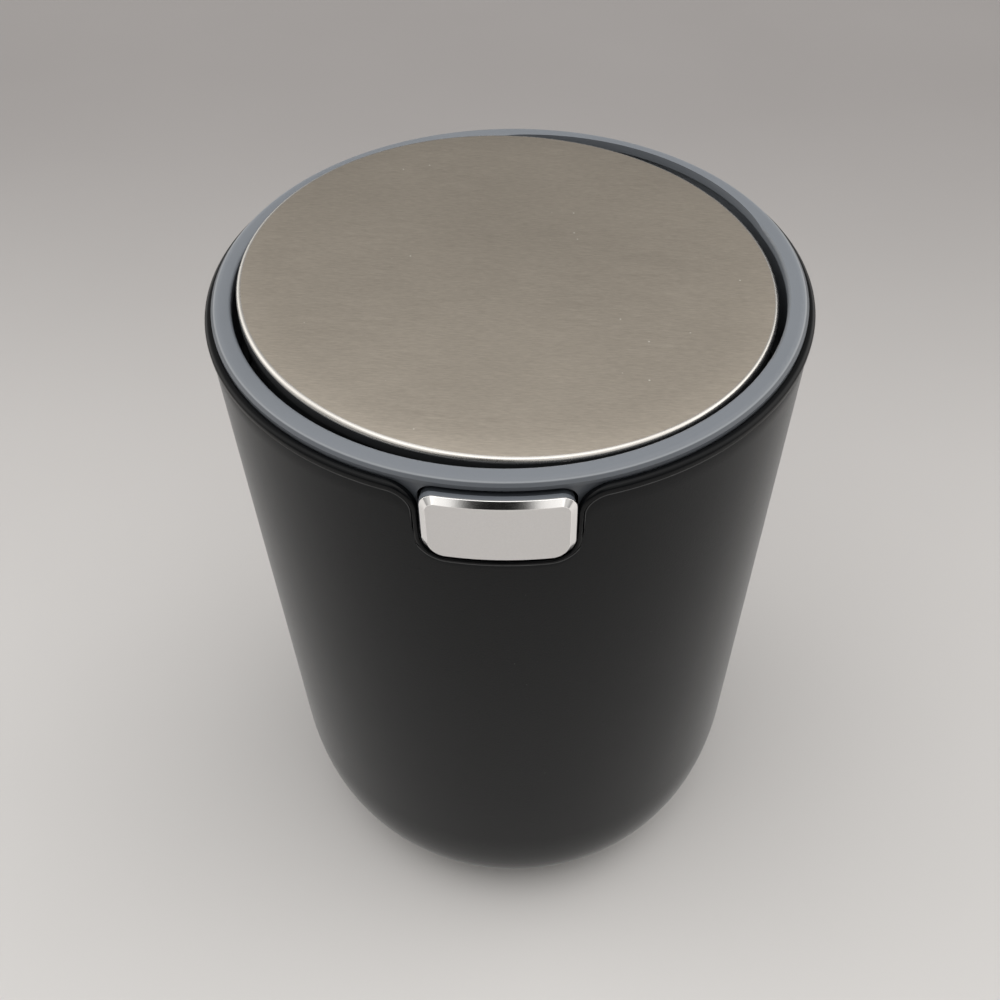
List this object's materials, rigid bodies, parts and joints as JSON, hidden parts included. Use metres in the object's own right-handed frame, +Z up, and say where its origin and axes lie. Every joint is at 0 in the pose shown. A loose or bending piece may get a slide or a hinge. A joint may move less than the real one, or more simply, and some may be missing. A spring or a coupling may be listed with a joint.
{
  "type": "desk trash can",
  "caption": "Small round push-button trash can: tapered bucket with rounded foot, lift-off rim ring, flush hinged steel lid and a curved front button.",
  "frame": {"origin": "centre of the bucket on the surface that the foot pad stands on", "axes": "+Z up along the bucket's axis, button towards -Y, hinge towards +Y"},
  "size_m": [0.13, 0.1315, 0.1734],
  "materials": {
    "bucket_plastic": "fine matt black",
    "foot_rubber": "matt rubber",
    "ring_plastic": "satin cool grey",
    "frame_plastic": "moulded black",
    "screw_steel": "zinc plated",
    "pin_steel": "ground steel",
    "spring_steel": "drawn wire",
    "guide_plastic": "slippery moulded plastic",
    "lid_steel": "fine brushed, rolled bright edge",
    "liner_plastic": "moulded black",
    "stop_rubber": "soft rubber",
    "button_plastic": "satin grey",
    "plate_metal": "satin face, polished bevel"
  },
  "bodies": {
    "bin": {"bucket": "bucket_plastic", "foot_pad": "foot_rubber"},
    "ring_unit": {"rim_ring": "ring_plastic", "inner_frame": "frame_plastic", "frame_screws": "screw_steel", "hinge_pin": "pin_steel", "pin_clips": "pin_steel", "torsion_spring": "spring_steel", "button_guide": "guide_plastic", "guide_screws": "screw_steel", "return_spring": "spring_steel"},
    "lid": {"lid_cap": "lid_steel", "lid_liner": "liner_plastic", "lid_underplate": "liner_plastic", "lid_screws": "screw_steel", "lid_stops": "stop_rubber"},
    "button": {"button_body": "button_plastic", "button_plate": "plate_metal", "latch_hook": "guide_plastic", "hook_screws": "screw_steel"}
  },
  "joints": [
    {"name": "ring_lift", "type": "slide", "parent": "bin", "child": "ring_unit", "axis": [0, 0, 1], "range_m": [0, 0.045]},
    {"name": "lid_hinge", "type": "hinge", "parent": "ring_unit", "child": "lid", "pos_m": [-0.00011, 0.05001, 0.16861], "axis": [-0.9991, -0.0002, 0.0429], "range_deg": [0, 65], "deforming": ["torsion_spring"]},
    {"name": "button_press", "type": "slide", "parent": "ring_unit", "child": "button", "axis": [0, 1, 0], "range_m": [0, 0.0022], "stiffness_N_per_m": 400, "springref_m": -0.001, "deforming": ["return_spring"]}
  ]
}
